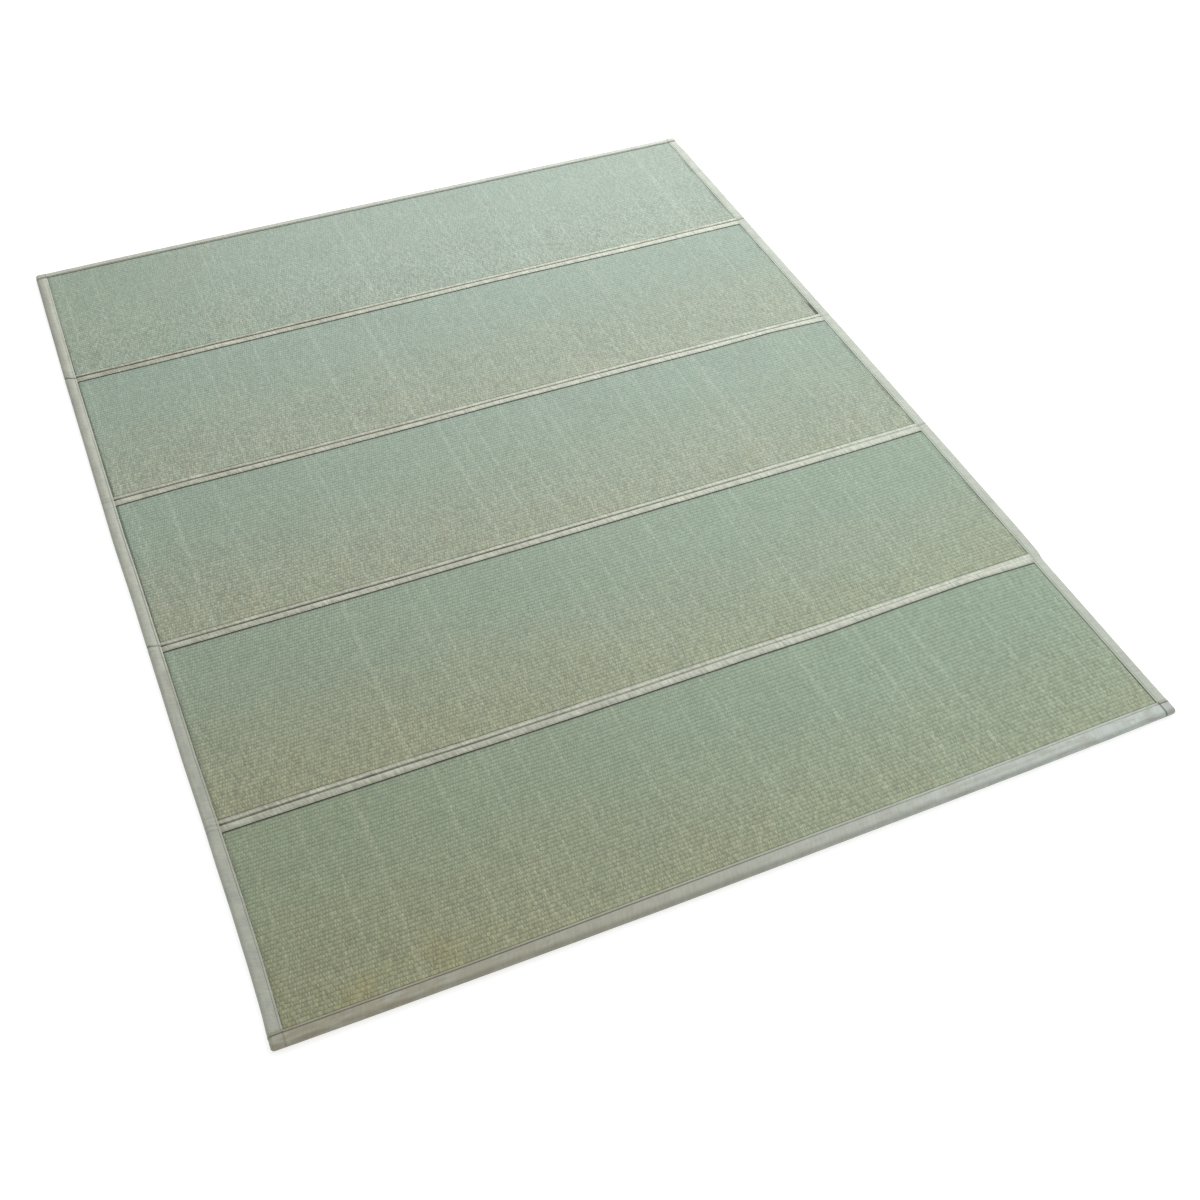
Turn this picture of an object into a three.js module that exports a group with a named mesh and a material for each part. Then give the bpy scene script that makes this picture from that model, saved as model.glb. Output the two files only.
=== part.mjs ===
// A folding tatami mat, lying open. Five pads faced with ribbed rush weave lie in a row from
// the back edge to the front edge. A cloth tape covers each joint between them. Folded cloth
// binds the two sides, and then the back and the front, over the side bindings' ends.
// Millimetres, +X to the right, +Y from front to back, +Z up. The origin is under the middle
// of the mat, on the surface that it lies on.
import * as THREE from "three";

// Driving dimensions.
const LENGTH = 2000; // front to back
const WIDTH = 1580; // side to side
const THICKNESS = 14; // of the bound edges
const PANEL_COUNT = 5;
const CLOTH = 1; // thickness of the binding cloth
const TAPE = 1.3; // height of a seam tape, its hems folded under
const GAP = 0.3; // left between pieces that touch
const TUCKED_GAP = 0.4; // left where a bent piece lies on or in another
const STEP_UP = { from: 0.5, to: 2 }; // past a binding's rim, where the mat regains its height
const WEAVE_LEAD = 1.5; // from a pressed edge to the first groove of the weave
const SIDE_REACH = 23; // how far a side binding covers the mat
const END_REACH = 25; // how far an end binding covers it
const RUSH_TOP = 13.6; // crests of the weave
const RIB_PITCH = 7.2;
const DEEP_GROOVE = 0.75; // every second groove between ribs
const SHALLOW_GROOVE = 0.45;
const VALLEY = 4.8; // how far the pads fall away to a joint
const JOINT_FOOT = { inward: 5, up: 2.5 }; // the underside's bevel at a joint
const CORNER_RISE = 0.6; // where an end binding passes over a side binding
const PANEL_DRAWN_IN = 1.5; // how far a pad's corners are drawn in at a joint
const PINCH = 0.4; // how far a crease pulls a binding's fold in, as a share of its depth

const MIDDLE = THICKNESS / 2; // half height, and the radius of a binding's fold
const PANEL_LENGTH = LENGTH / PANEL_COUNT;
const UNDER_TAPE = THICKNESS - TAPE - TUCKED_GAP; // the pad pressed flat below a tape
const INSIDE = (MIDDLE - CLOTH - TUCKED_GAP) / MIDDLE; // share of the height left in a binding

// The pad's rounded shoulder on each side of a joint: how far the tape covers it, and how far
// out the valley starts.
const SHOULDERS = {
  near: { reach: 14, valley: 6 },
  far: { reach: 9, valley: 6 },
};
const SHOULDER_STEPS = 3;

// How far each tape is pulled down into its valley, along its length. Joint 1 is at the back.
const PULLED_DOWN = [
  { joint: 1, left: 4.5, middle: 4.4, right: 4.2 },
  { joint: 2, left: 4.4, middle: 4.2, right: 2 },
  { joint: 3, left: 4.4, middle: 4, right: 1.6 },
  { joint: 4, left: 4.2, middle: 3.2, right: 0.8 },
];

// Creases across the side bindings: which joint each is at, how far behind it, how far it
// spreads to each side and how deep it is.
const CREASES = {
  left: [
    { joint: 1, behind: 1, spread: 4, depth: 2.2 },
    { joint: 2, behind: -3, spread: 3, depth: 0.7 },
    { joint: 2, behind: 3.5, spread: 3, depth: 0.6 },
    { joint: 3, behind: 1, spread: 4, depth: 2.2 },
    { joint: 4, behind: -3.5, spread: 3, depth: 0.6 },
    { joint: 4, behind: 3, spread: 3, depth: 0.7 },
  ],
  right: [
    { joint: 1, behind: 1, spread: 4, depth: 2 },
    { joint: 2, behind: 0, spread: 4, depth: 0.8 },
    { joint: 3, behind: 1, spread: 4, depth: 1 },
    { joint: 4, behind: 0, spread: 4, depth: 0.3 },
  ],
};

const rush = new THREE.MeshStandardMaterial({ color: 0x9daa94, roughness: 0.75 });
const tapeCloth = new THREE.MeshStandardMaterial({ color: 0xbdbaa6, roughness: 0.6 });
const bindingCloth = new THREE.MeshStandardMaterial({ color: 0xb4b8a8, roughness: 0.55 });

// The height left for what lies inside a binding, row by row from the mat's edge inwards. It
// ends with a blunt tip, inside the fold.
function tuckedRows(reach, tip) {
  return [
    tip,
    { inward: MIDDLE, share: INSIDE },
    { inward: reach + STEP_UP.from, share: INSIDE },
    { inward: reach + STEP_UP.to, share: 1 },
  ];
}
const SIDE_ROWS = tuckedRows(SIDE_REACH, { inward: 4, share: 0.55 });
const END_ROWS = tuckedRows(END_REACH, { inward: 2.2, share: 0.4 });

// The share at any distance in from the edge, read between two rows.
function shareAt(rows, inward) {
  const next = rows.findIndex((row) => inward < row.inward);
  if (next === -1) return 1;
  if (next === 0) return rows[0].share;
  const [a, b] = [rows[next - 1], rows[next]];
  return THREE.MathUtils.mapLinear(inward, a.inward, b.inward, a.share, b.share);
}

const squeezed = (z, share) => MIDDLE + (z - MIDDLE) * share;

const jointY = (joint) => LENGTH / 2 - joint * PANEL_LENGTH;

// How far a point near a joint lies down the valley, from 0 on top to 1 at the joint.
function downValley(y, joint) {
  const away = y - jointY(joint);
  const { valley } = away < 0 ? SHOULDERS.near : SHOULDERS.far;
  return Math.max(0, 1 - Math.abs(away) / valley) ** 2;
}

const valleyHeight = (y, joint) => UNDER_TAPE - VALLEY * downValley(y, joint);

// How far a tape stands clear of the bottom of its valley.
function clearance(x, joint) {
  const { left, middle, right } = PULLED_DOWN[joint - 1];
  const end = x < 0 ? left : right;
  return VALLEY - THREE.MathUtils.lerp(middle, end, Math.abs(x) / (WIDTH / 2));
}

// Moves each vertex of a geometry by a rule.
function reshape(geometry, rule) {
  const place = geometry.getAttribute("position");
  for (let i = 0; i < place.count; i++) {
    place.setXYZ(i, ...rule(place.getX(i), place.getY(i), place.getZ(i)));
  }
  geometry.computeVertexNormals();
  return geometry;
}

// An outline drawn in Y and Z, carried along X from station to station.
function carriedAlongX(outline, stations) {
  const spans = stations.length - 1;
  const settings = { depth: spans, steps: spans, bevelEnabled: false };
  const geometry = new THREE.ExtrudeGeometry(new THREE.Shape(outline), settings);
  return reshape(geometry, (y, z, step) => [stations[Math.round(step)], y, z]);
}

// Stations from one side of a length to the other, the same distances in from both ends.
function fromBothEnds(half, inwards, between = []) {
  const left = inwards.map((inward) => inward - half);
  return [...left, ...between, ...inwards.map((inward) => half - inward)].sort(
    (a, b) => a - b,
  );
}

// One end of a pad's outline: the points under and over its edge, by distance in from there.
function boundEdge() {
  const at = (side) => (row) => [row.inward, MIDDLE + side * MIDDLE * row.share];
  return { under: END_ROWS.map(at(-1)), over: END_ROWS.slice(0, -1).map(at(1)) };
}

function jointEdge(joint, shoulder, sign) {
  const over = [];
  for (let step = 0; step <= SHOULDER_STEPS; step++) {
    const inward = Math.max(GAP / 2, (shoulder.valley * step) / SHOULDER_STEPS);
    over.push([inward, valleyHeight(jointY(joint) + sign * inward, joint)]);
  }
  over.push([shoulder.reach, UNDER_TAPE]);
  const under = [
    [GAP / 2, JOINT_FOOT.up],
    [JOINT_FOOT.inward, 0],
  ];
  return { under, over };
}

// The ribs of the weave from the back of a pad's open face to its front, two to each repeat.
function ribs(back, front) {
  const count = 2 * Math.round((back - front) / RIB_PITCH / 2);
  const half = (back - front) / count / 2;
  const points = [];
  for (let i = 0; i <= 2 * count; i++) {
    const groove = i % 4 === 0 ? DEEP_GROOVE : SHALLOW_GROOVE;
    points.push([back - i * half, RUSH_TOP - (i % 2 === 0 ? groove : 0)]);
  }
  return points;
}

// A pad, numbered from the back. Its edges are pressed down under the tapes and bindings.
function rushPanel(number) {
  const backY = jointY(number - 1);
  const frontY = jointY(number);
  const back = number === 1 ? boundEdge() : jointEdge(number - 1, SHOULDERS.near, -1);
  const front =
    number === PANEL_COUNT ? boundEdge() : jointEdge(number, SHOULDERS.far, 1);
  const fromBack = ([inward, z]) => [backY - inward, z];
  const fromFront = ([inward, z]) => [frontY + inward, z];
  const weaveBack = backY - back.over.at(-1)[0] - WEAVE_LEAD;
  const weaveFront = frontY + front.over.at(-1)[0] + WEAVE_LEAD;
  const outline = [
    ...front.under.map(fromFront),
    ...back.under.map(fromBack).reverse(),
    ...back.over.map(fromBack),
    ...ribs(weaveBack, weaveFront),
    ...front.over.map(fromFront).reverse(),
  ];
  const stations = fromBothEnds(WIDTH / 2, SIDE_ROWS.map((row) => row.inward));
  const joints = [number - 1, number].filter((j) => j > 0 && j < PANEL_COUNT);
  const geometry = carriedAlongX(outline.map(([y, z]) => new THREE.Vector2(y, z)), stations);
  return reshape(geometry, (x, y, z) => {
    const inward = WIDTH / 2 - Math.abs(x);
    const corner = joints.reduce((sum, joint) => sum + downValley(y, joint), 0);
    const pulled = inward < MIDDLE ? PANEL_DRAWN_IN * corner : 0;
    return [x - Math.sign(x) * pulled, y, squeezed(z, shareAt(SIDE_ROWS, inward))];
  });
}

// A tape lies over the shoulders on both sides of its joint and is sewn down into the valley.
function seamTape(joint) {
  const ys = [];
  for (let step = 0; step <= SHOULDER_STEPS; step++) {
    ys.push((SHOULDERS.far.valley * step) / SHOULDER_STEPS);
    if (step > 0) ys.unshift((-SHOULDERS.near.valley * step) / SHOULDER_STEPS);
  }
  ys.unshift(-SHOULDERS.near.reach);
  ys.push(SHOULDERS.far.reach);
  const at = (up) => (away) => {
    const y = jointY(joint) + away;
    return new THREE.Vector2(y, valleyHeight(y, joint) + TUCKED_GAP + up);
  };
  const outline = [...ys.map(at(0)), ...ys.map(at(TAPE)).reverse()];
  const end = MIDDLE + 1; // it stops inside the side bindings, short of their fold
  const inwards = [end, ...SIDE_ROWS.slice(2).map((row) => row.inward)];
  const geometry = carriedAlongX(outline, fromBothEnds(WIDTH / 2, inwards, [0]));
  return reshape(geometry, (x, y, z) => {
    const share = shareAt(SIDE_ROWS, WIDTH / 2 - Math.abs(x));
    return [x, y, squeezed(z + clearance(x, joint) * downValley(y, joint), share)];
  });
}

// The section of a binding: a strip folded round the edge. Y is the distance in from there.
function bindingOutline(reach) {
  const bends = 8;
  const path = (radius) => {
    const points = [[reach, MIDDLE + radius]];
    for (let i = 0; i <= bends; i++) {
      const angle = Math.PI * (0.5 + i / bends);
      points.push([MIDDLE + radius * Math.cos(angle), MIDDLE + radius * Math.sin(angle)]);
    }
    points.push([reach, MIDDLE - radius]);
    return points;
  };
  const round = [...path(MIDDLE), ...path(MIDDLE - CLOTH).reverse()];
  return round.map(([y, z]) => new THREE.Vector2(y, z));
}

// A side binding, drawn along X with its fold at Y = 0. It goes inside the end bindings at
// both ends and is creased at the joints. Along is +1 where X runs to the back of the mat.
function sideBinding(creases, along) {
  const placed = creases.map((crease) => ({
    ...crease,
    at: along * (jointY(crease.joint) + crease.behind),
  }));
  const between = placed.flatMap(({ at, spread }) => [at - spread, at, at + spread]);
  const inwards = END_ROWS.map((row) => row.inward);
  const stations = fromBothEnds(LENGTH / 2, inwards, between);
  return reshape(carriedAlongX(bindingOutline(SIDE_REACH), stations), (x, y, z) => {
    const share = shareAt(END_ROWS, LENGTH / 2 - Math.abs(x));
    const crease = placed.reduce(
      (sum, { at, spread, depth }) => sum + depth * Math.max(0, 1 - Math.abs(x - at) / spread),
      0,
    );
    const up = Math.max(0, z - MIDDLE) / MIDDLE;
    const fold = Math.max(0, MIDDLE - y);
    const inward = y + fold * (1 - Math.max(share, INSIDE)) + (PINCH * crease * fold) / MIDDLE;
    return [x, inward, squeezed(z - crease * up, share)];
  });
}

// An end binding, drawn along X with its fold at Y = 0. It rises over the side bindings, and
// its own ends are folded in.
function endBinding() {
  const ends = [75, 45, 22.5, 0].map((degrees) => {
    const turn = THREE.MathUtils.degToRad(degrees);
    return { inward: MIDDLE * (1 - Math.sin(turn)), share: Math.cos(turn) };
  });
  const slope = 2;
  const inwards = [...ends.map((row) => row.inward), SIDE_REACH - slope, SIDE_REACH + slope];
  const stations = fromBothEnds(WIDTH / 2, inwards);
  return reshape(carriedAlongX(bindingOutline(END_REACH), stations), (x, y, z) => {
    const inward = WIDTH / 2 - Math.abs(x);
    const rise = inward < SIDE_REACH ? (CORNER_RISE * z) / THICKNESS : 0;
    return [x, y, squeezed(z, shareAt(ends, inward)) + rise];
  });
}

function named(name, geometry, material, place = {}) {
  const mesh = new THREE.Mesh(geometry, material);
  mesh.name = name;
  mesh.rotation.z = place.turn ?? 0;
  mesh.position.set(place.x ?? 0, place.y ?? 0, 0);
  return mesh;
}

const mat = new THREE.Group();
for (let number = 1; number <= PANEL_COUNT; number++) {
  mat.add(named(`rush_panel_${number}`, rushPanel(number), rush));
}
for (let joint = 1; joint < PANEL_COUNT; joint++) {
  mat.add(named(`seam_tape_${joint}`, seamTape(joint), tapeCloth));
}
mat.add(
  named("side_binding_left", sideBinding(CREASES.left, -1), bindingCloth, {
    turn: -Math.PI / 2,
    x: -WIDTH / 2,
  }),
  named("side_binding_right", sideBinding(CREASES.right, 1), bindingCloth, {
    turn: Math.PI / 2,
    x: WIDTH / 2,
  }),
  named("end_binding_back", endBinding(), bindingCloth, {
    turn: Math.PI,
    y: LENGTH / 2,
  }),
  named("end_binding_front", endBinding(), bindingCloth, { y: -LENGTH / 2 }),
);

export default mat;
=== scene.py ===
# The looks of a folding tatami mat that lies open on a floor. The sections follow the mat as
# it is put together: the pads, the tapes over their joints, the side bindings and the end
# bindings, each with its sewing. The floor, the light and the camera come last. Sizes are
# worked out in millimetres and a mesh is given its vertices in metres.
import math

import bpy
import numpy as np
from mathutils import Matrix, Vector


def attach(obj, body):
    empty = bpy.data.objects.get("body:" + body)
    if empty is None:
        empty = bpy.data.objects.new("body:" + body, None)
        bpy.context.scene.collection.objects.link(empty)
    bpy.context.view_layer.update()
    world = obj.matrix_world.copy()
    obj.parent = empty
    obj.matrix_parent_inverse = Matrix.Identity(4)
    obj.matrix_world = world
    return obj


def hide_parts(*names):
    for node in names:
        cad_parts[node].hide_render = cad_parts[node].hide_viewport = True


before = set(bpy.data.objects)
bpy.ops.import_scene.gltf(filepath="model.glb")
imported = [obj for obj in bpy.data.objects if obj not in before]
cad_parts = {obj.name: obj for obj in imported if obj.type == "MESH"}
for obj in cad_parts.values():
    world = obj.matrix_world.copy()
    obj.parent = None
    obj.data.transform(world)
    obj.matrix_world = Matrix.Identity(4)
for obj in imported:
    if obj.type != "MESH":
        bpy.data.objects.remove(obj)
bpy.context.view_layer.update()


# Rush panels. Each is a firm pad with a woven face: rush straws run from back to front, and
# rows of cotton warp draw them down into ribs that run from side to side. Tapes and bindings
# press the pad's edges flat, and the underside has a plain backing cloth glued on.
MM = 0.001
LENGTH = 2000
WIDTH = 1580
HALF_LENGTH = LENGTH / 2
HALF_WIDTH = WIDTH / 2
PANEL_LENGTH = 400
PANEL_COUNT = 5
MIDDLE = 7
RUSH_TOP = 13.6
UNDER_TAPE = 12.3
RIB_PITCH = 7.2
WEAVE_LEAD = 1.5
LOW_ROW = (0.8, 11.9)
GROOVES = (0.44, 0.38)
COLUMN = 6.4
NEAR_REACH = 14
FAR_REACH = 10.5
SIDE_PRESS = [(4, 0.55), (7, 0.8), (23.3, 0.8), (24.5, 1)]
END_PRESS = {
    "back": [(3, 0.5), (7, 0.8), (19.6, 0.8), (20.8, 1)],
    "front": [(3, 0.5), (7, 0.8), (25.4, 0.8), (26.6, 1)],
}
PULLED_DOWN = {1: (4.5, 4.4, 4.2), 2: (4.4, 4.2, 2), 3: (4.4, 4, 1.2), 4: (4, 2.4, 0.3)}

# How far the mat lies out of true. The sides: place along the mat, and shift to the right. The
# rows across it: place along the mat, and the shift to the back at each station.
LEFT_OUT = [(-1000, 0.5), (-930, 2.5), (-850, 4), (-750, 4), (-600, 2.5), (-450, 0.5), (-300, 0)]
LEFT_OUT += [(0, -1.5), (100, -3), (400, -1.5), (600, -1), (800, 1.5), (1000, 4.5)]
RIGHT_OUT = [(-1000, 0), (-612, 0), (-588, 4), (-450, 4.5), (-200, 5.5), (0, 6)]
RIGHT_OUT += [(500, 5), (1000, 5.5)]
STATIONS = [-790, -640, -480, -320, -160, 0, 160, 320, 480, 640, 790]
BACK_OUT = [
    (-1000, [4.5, 1.5, -1, -3, -4.4, -4.8, -4.6, -4.4, -3.8, -2.5, 0]),
    (-976, [2.2, -0.3, -2.3, -2.3, -2.3, -2.3, -2.3, -2.3, -1.3, 0.7, 1.2]),
    (-612, [0.7, 0, -0.7, -1.7, -2.4, -1.5, -1, -1.7, 3.5, 6.6, 1.7]),
    (-595, [-0.4, -0.4, -2.1, -3.8, -3.8, -2.8, -1.5, -3.2, -1.5, 0.3, 0.3]),
    (-212, [4.5, 3.6, 2.5, 1.7, 1.4, 1.3, 1.7, 1.7, 0.7, 1.5, 3.5]),
    (-195, [2.7, 2.2, 0.5, -0.7, -0.3, 0, 0.2, 0.6, 1, 1.7, 2]),
    (188, [-0.7, 3.8, 2.2, 1.7, 2.4, 4.1, 4, 3.6, 2.7, 6.2, -1]),
    (205, [0.7, 2.4, 0.5, -0.3, 0, 1.4, 2.2, 2.8, 1.4, 1, 0]),
    (588, [-2.4, -1, 1, 1.8, 2.8, 3.8, 5.6, 4.2, 2.8, 4.2, 3.8]),
    (605, [-3.5, -2.4, -0.7, 0.7, 1, 2.4, 3.1, 2.4, 2.4, 4.5, 4.5]),
    (1000, [-5, -3, -1.5, -0.5, 0, 0.4, 0.6, 0.8, 0.9, 1, 1.3]),
]


def joint_y(joint):
    """How far forward of or behind the middle a joint lies. Joint 1 is at the back."""
    return HALF_LENGTH - joint * PANEL_LENGTH


def pressed_share(inward, rows):
    """The share of the height that a binding leaves, at a distance in from the edge."""
    return np.interp(inward, [row[0] for row in rows], [row[1] for row in rows])


def eased(share):
    """Turns a straight run from 0 to 1 into a smooth one."""
    share = np.clip(share, 0, 1)
    return share * share * (3 - 2 * share)


def joint_dip(x, away, joint):
    """How deep a joint dips, by distance behind it: steep at the near side, easy at the far."""
    pull = np.interp(x, [-HALF_WIDTH, 0, HALF_WIDTH], PULLED_DOWN[joint])
    wide = 1.1 * np.interp(x, [-HALF_WIDTH, 200], [1, 0]) if joint == 1 else 0
    near = eased((away + 1) / 1.3)
    far = 1 - eased((away - 1.5 - wide) / (2.7 + 0.3 * wide))
    return pull * near * far


def soft_noise(seed, x, y, size_x, size_y):
    """Smooth uneven values from -1 to 1, in patches of about size_x by size_y."""
    rng = np.random.default_rng(seed)
    u = (np.asarray(x) + LENGTH) / size_x
    v = (np.asarray(y) + LENGTH) / size_y
    lattice = rng.uniform(-1, 1, (int(2.2 * LENGTH / size_x) + 3, int(2.2 * LENGTH / size_y) + 3))
    i, j = np.floor(u).astype(int), np.floor(v).astype(int)
    a, b = eased(u - i), eased(v - j)
    low = lattice[i, j] * (1 - a) + lattice[i + 1, j] * a
    high = lattice[i, j + 1] * (1 - a) + lattice[i + 1, j + 1] * a
    return low * (1 - b) + high * b


def as_it_lies(points):
    """Shifts places by the few millimetres that the mat's sides and joints lie out of true."""
    x, y, z = points.T
    across = np.clip(0.5 + x / WIDTH, 0, 1)
    shift_x = np.interp(y, *zip(*LEFT_OUT)) * (1 - across) + np.interp(y, *zip(*RIGHT_OUT)) * across
    shift_y = np.zeros_like(y)
    for (near_y, near), (far_y, far) in zip(BACK_OUT, BACK_OUT[1:]):
        share = np.clip((y - near_y) / (far_y - near_y), 0, 1)
        shifted = np.interp(x, STATIONS, near) * (1 - share) + np.interp(x, STATIONS, far) * share
        inside = (y >= near_y) & (y < far_y)
        shift_y = np.where(inside, shifted, shift_y)
    shift_y = np.where(y < BACK_OUT[0][0], np.interp(x, STATIONS, BACK_OUT[0][1]), shift_y)
    shift_y = np.where(y >= BACK_OUT[-1][0], np.interp(x, STATIONS, BACK_OUT[-1][1]), shift_y)
    return np.stack([x + shift_x, y + shift_y, z], axis=1)


def places(piece):
    """The vertices of a piece in millimetres, one row each."""
    flat = np.empty(3 * len(piece.data.vertices), np.float32)
    piece.data.vertices.foreach_get("co", flat)
    return flat.reshape(-1, 3).astype(float) / MM


def put(piece, points):
    """Moves the vertices of a piece to places in millimetres."""
    piece.data.vertices.foreach_set("co", (points * MM).astype(np.float32).ravel())
    piece.data.update()


def laid_grid(name, xs, ys):
    """A flat grid with a column of vertices at each x and a row at each y."""
    bpy.ops.object.select_all(action="DESELECT")
    bpy.ops.mesh.primitive_grid_add(
        x_subdivisions=len(xs) - 1, y_subdivisions=len(ys) - 1, size=1
    )
    piece = bpy.context.object
    piece.name = name
    piece.data.name = name
    x, y = np.meshgrid(xs, ys)
    put(piece, np.stack([x.ravel(), y.ravel(), np.zeros(x.size)], axis=1))
    return piece


def edit(piece, chosen):
    """Opens a piece in edit mode with the chosen vertices selected."""
    bpy.ops.object.select_all(action="DESELECT")
    piece.select_set(True)
    bpy.context.view_layer.objects.active = piece
    bpy.ops.object.mode_set(mode="EDIT")
    bpy.ops.mesh.select_mode(type="VERT")
    bpy.ops.mesh.select_all(action="DESELECT")
    bpy.ops.object.mode_set(mode="OBJECT")
    piece.data.vertices.foreach_set("select", chosen)
    bpy.ops.object.mode_set(mode="EDIT")
    bpy.ops.mesh.select_mode(type="EDGE")


def done_editing(piece):
    bpy.ops.object.mode_set(mode="OBJECT")
    piece.data.update()


def merge_and_face_out(piece):
    edit(piece, np.ones(len(piece.data.vertices), bool))
    bpy.ops.mesh.select_all(action="SELECT")
    bpy.ops.mesh.remove_doubles(threshold=0.00001)
    bpy.ops.mesh.normals_make_consistent(inside=False)
    done_editing(piece)


def give_flat_map(piece, name, across, along):
    """A UV map in which each vertex has its own pair of values."""
    layer = piece.data.uv_layers.new(name=name)
    corners = np.empty(len(piece.data.loops), np.int32)
    piece.data.loops.foreach_get("vertex_index", corners)
    pairs = np.stack([across[corners], along[corners]], axis=1)
    layer.data.foreach_set("uv", pairs.astype(np.float32).ravel())


def pad_end(number, at_back):
    """Rows of one pressed end of a pad, by distance in from there: distance and height."""
    if number == 1 and at_back or number == PANEL_COUNT and not at_back:
        press = END_PRESS["back" if at_back else "front"]
        over = [(inward, MIDDLE + MIDDLE * share) for inward, share in press[:-1]]
        under = [(inward, MIDDLE - MIDDLE * share) for inward, share in press]
        return over, under
    reach = NEAR_REACH if at_back else FAR_REACH
    over = [(inward, UNDER_TAPE) for inward in (0.15, 0.7, 1.4, 2.2, 3.1, 4.2, 6, reach)]
    over.append((reach + LOW_ROW[0], LOW_ROW[1]))
    under = [(0.15, 2.5), (5, 0), (6, 0), (7, 0)]
    return over, under


def rib_rows(back, front):
    """Four rows to each rib, from the back: place, height below the crests, ribs counted."""
    count = 2 * round((back - front) / RIB_PITCH / 2)
    pitch = (back - front) / count
    rows = []
    for rib in range(count):
        for share, depth in ((0, GROOVES[rib % 2]), (0.2, 0.15), (0.5, 0), (0.8, 0.15)):
            rows.append((back - (rib + share) * pitch, depth, rib + share))
    rows.append((front, GROOVES[0], count))
    return rows


def rush_panel(number):
    back_y, front_y = joint_y(number - 1), joint_y(number)
    back_over, back_under = pad_end(number, True)
    front_over, front_under = pad_end(number, False)
    back_lead, front_lead = back_over[-1][0], front_over[-1][0]
    weave_back = back_y - back_lead - WEAVE_LEAD + LOW_ROW[0]
    weave_front = front_y + front_lead + WEAVE_LEAD - LOW_ROW[0]
    ribs = rib_rows(weave_back, weave_front)
    last = ribs[-1][2]
    rows = [(back_y - d, z, (d - back_lead) / RIB_PITCH - 0.1) for d, z in back_over]
    rows += [(y, RUSH_TOP - depth, counted) for y, depth, counted in ribs]
    rows += [
        (front_y + d, z, last + (front_lead - d) / RIB_PITCH + 0.1)
        for d, z in reversed(front_over)
    ]
    rows.reverse()
    row_y, row_z, row_rib = (np.array(values) for values in zip(*rows))
    open_half = HALF_WIDTH - SIDE_PRESS[-1][0]
    inner = np.linspace(-open_half, open_half, round(2 * open_half / COLUMN))
    edge = [HALF_WIDTH - inward for inward, _ in SIDE_PRESS[:-1]]
    column_x = np.array([-x for x in edge] + list(inner) + edge[::-1])
    piece = laid_grid(f"woven_panel_{number}", column_x, row_y)

    # The woven face: ribs that wander a little, straws of uneven height, a soft pad below.
    x, y, _ = places(piece).T
    z = np.repeat(row_z, len(column_x))
    counted = np.repeat(row_rib, len(column_x))
    inward = HALF_WIDTH - np.abs(x)
    from_back, from_front = weave_back - y, y - weave_front
    on_weave = np.clip(np.minimum(from_back, from_front) / 12, 0, 1)
    on_weave *= np.clip((inward - SIDE_PRESS[-1][0]) / 12, 0, 1)
    wander = 0.8 * soft_noise(10 + number, x, y, 90, 60)
    wander += 0.35 * soft_noise(20 + number, x, y, 23, 20)
    pad = 0.22 * soft_noise(30 + number, x, y, 160, 110)
    pad += 0.1 * soft_noise(40 + number, x, y, 45, 60)
    straw = 0.1 * soft_noise(50 + number, x, y, 7, RIB_PITCH)
    z = z + on_weave * (pad + straw - 0.12)
    for joint in (number - 1, number):
        if 0 < joint < PANEL_COUNT:
            away = y - joint_y(joint)
            z = z - joint_dip(x, away, joint) * (z < UNDER_TAPE + 0.01)
    share = pressed_share(inward, SIDE_PRESS)
    y = y + on_weave * wander
    put(piece, np.stack([x, y, MIDDLE + (z - MIDDLE) * share], axis=1))

    # The sides and the rim of the underside: the face's outline is extruded ring by ring.
    ends = (y > row_y.max() - 0.01) | (y < row_y.min() + 0.01)
    on_edge = (inward < SIDE_PRESS[0][0] + 0.5) | ends
    rim_size = on_edge.sum()
    for ring in range(len(back_under)):
        chosen = np.zeros(len(piece.data.vertices), bool)
        chosen[-rim_size:] = True
        edit(piece, on_edge if ring == 0 else chosen)
        bpy.ops.mesh.extrude_edges_move(TRANSFORM_OT_translate={"value": (0, 0, -MM)})
        done_editing(piece)
        points = places(piece)
        rim = points[-rim_size:]
        reach = HALF_WIDTH - SIDE_PRESS[ring][0]
        back, front = back_y - back_under[ring][0], front_y + front_under[ring][0]
        rim_x = np.clip(rim[:, 0], -reach, reach)
        rim_y = np.clip(rim[:, 1], front, back)
        at_back = rim_y > (back_y + front_y) / 2
        low = np.where(
            at_back,
            np.interp(back_y - rim_y, *zip(*back_under)),
            np.interp(rim_y - front_y, *zip(*front_under)),
        )
        rim_share = pressed_share(HALF_WIDTH - np.abs(rim_x), SIDE_PRESS)
        points[-rim_size:] = np.stack([rim_x, rim_y, MIDDLE + (low - MIDDLE) * rim_share], axis=1)
        put(piece, points)
        counted = np.append(counted, counted[: len(on_edge)][on_edge])
    chosen = np.zeros(len(piece.data.vertices), bool)
    chosen[-rim_size:] = True
    edit(piece, chosen)
    bpy.ops.mesh.edge_face_add()
    done_editing(piece)
    points = places(piece)
    give_flat_map(piece, "weave", points[:, 0] * MM, counted)
    from_back, from_front = weave_back - points[:, 1], points[:, 1] - weave_front
    give_flat_map(piece, "ends", from_back * MM, from_front * MM)
    merge_and_face_out(piece)
    put(piece, as_it_lies(places(piece)))
    bpy.ops.object.shade_smooth_by_angle(angle=math.radians(50))
    return piece


def node(tree, kind, inputs=None, output=0, **settings):
    """Adds a shader node, joins or sets its inputs, and gives back one of its outputs."""
    made = tree.nodes.new(kind)
    for name, value in settings.items():
        setattr(made, name, value)
    for key, value in (inputs or {}).items():
        if isinstance(value, bpy.types.NodeSocket):
            tree.links.new(value, made.inputs[key])
        else:
            made.inputs[key].default_value = value
    return made.outputs[output]


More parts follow.
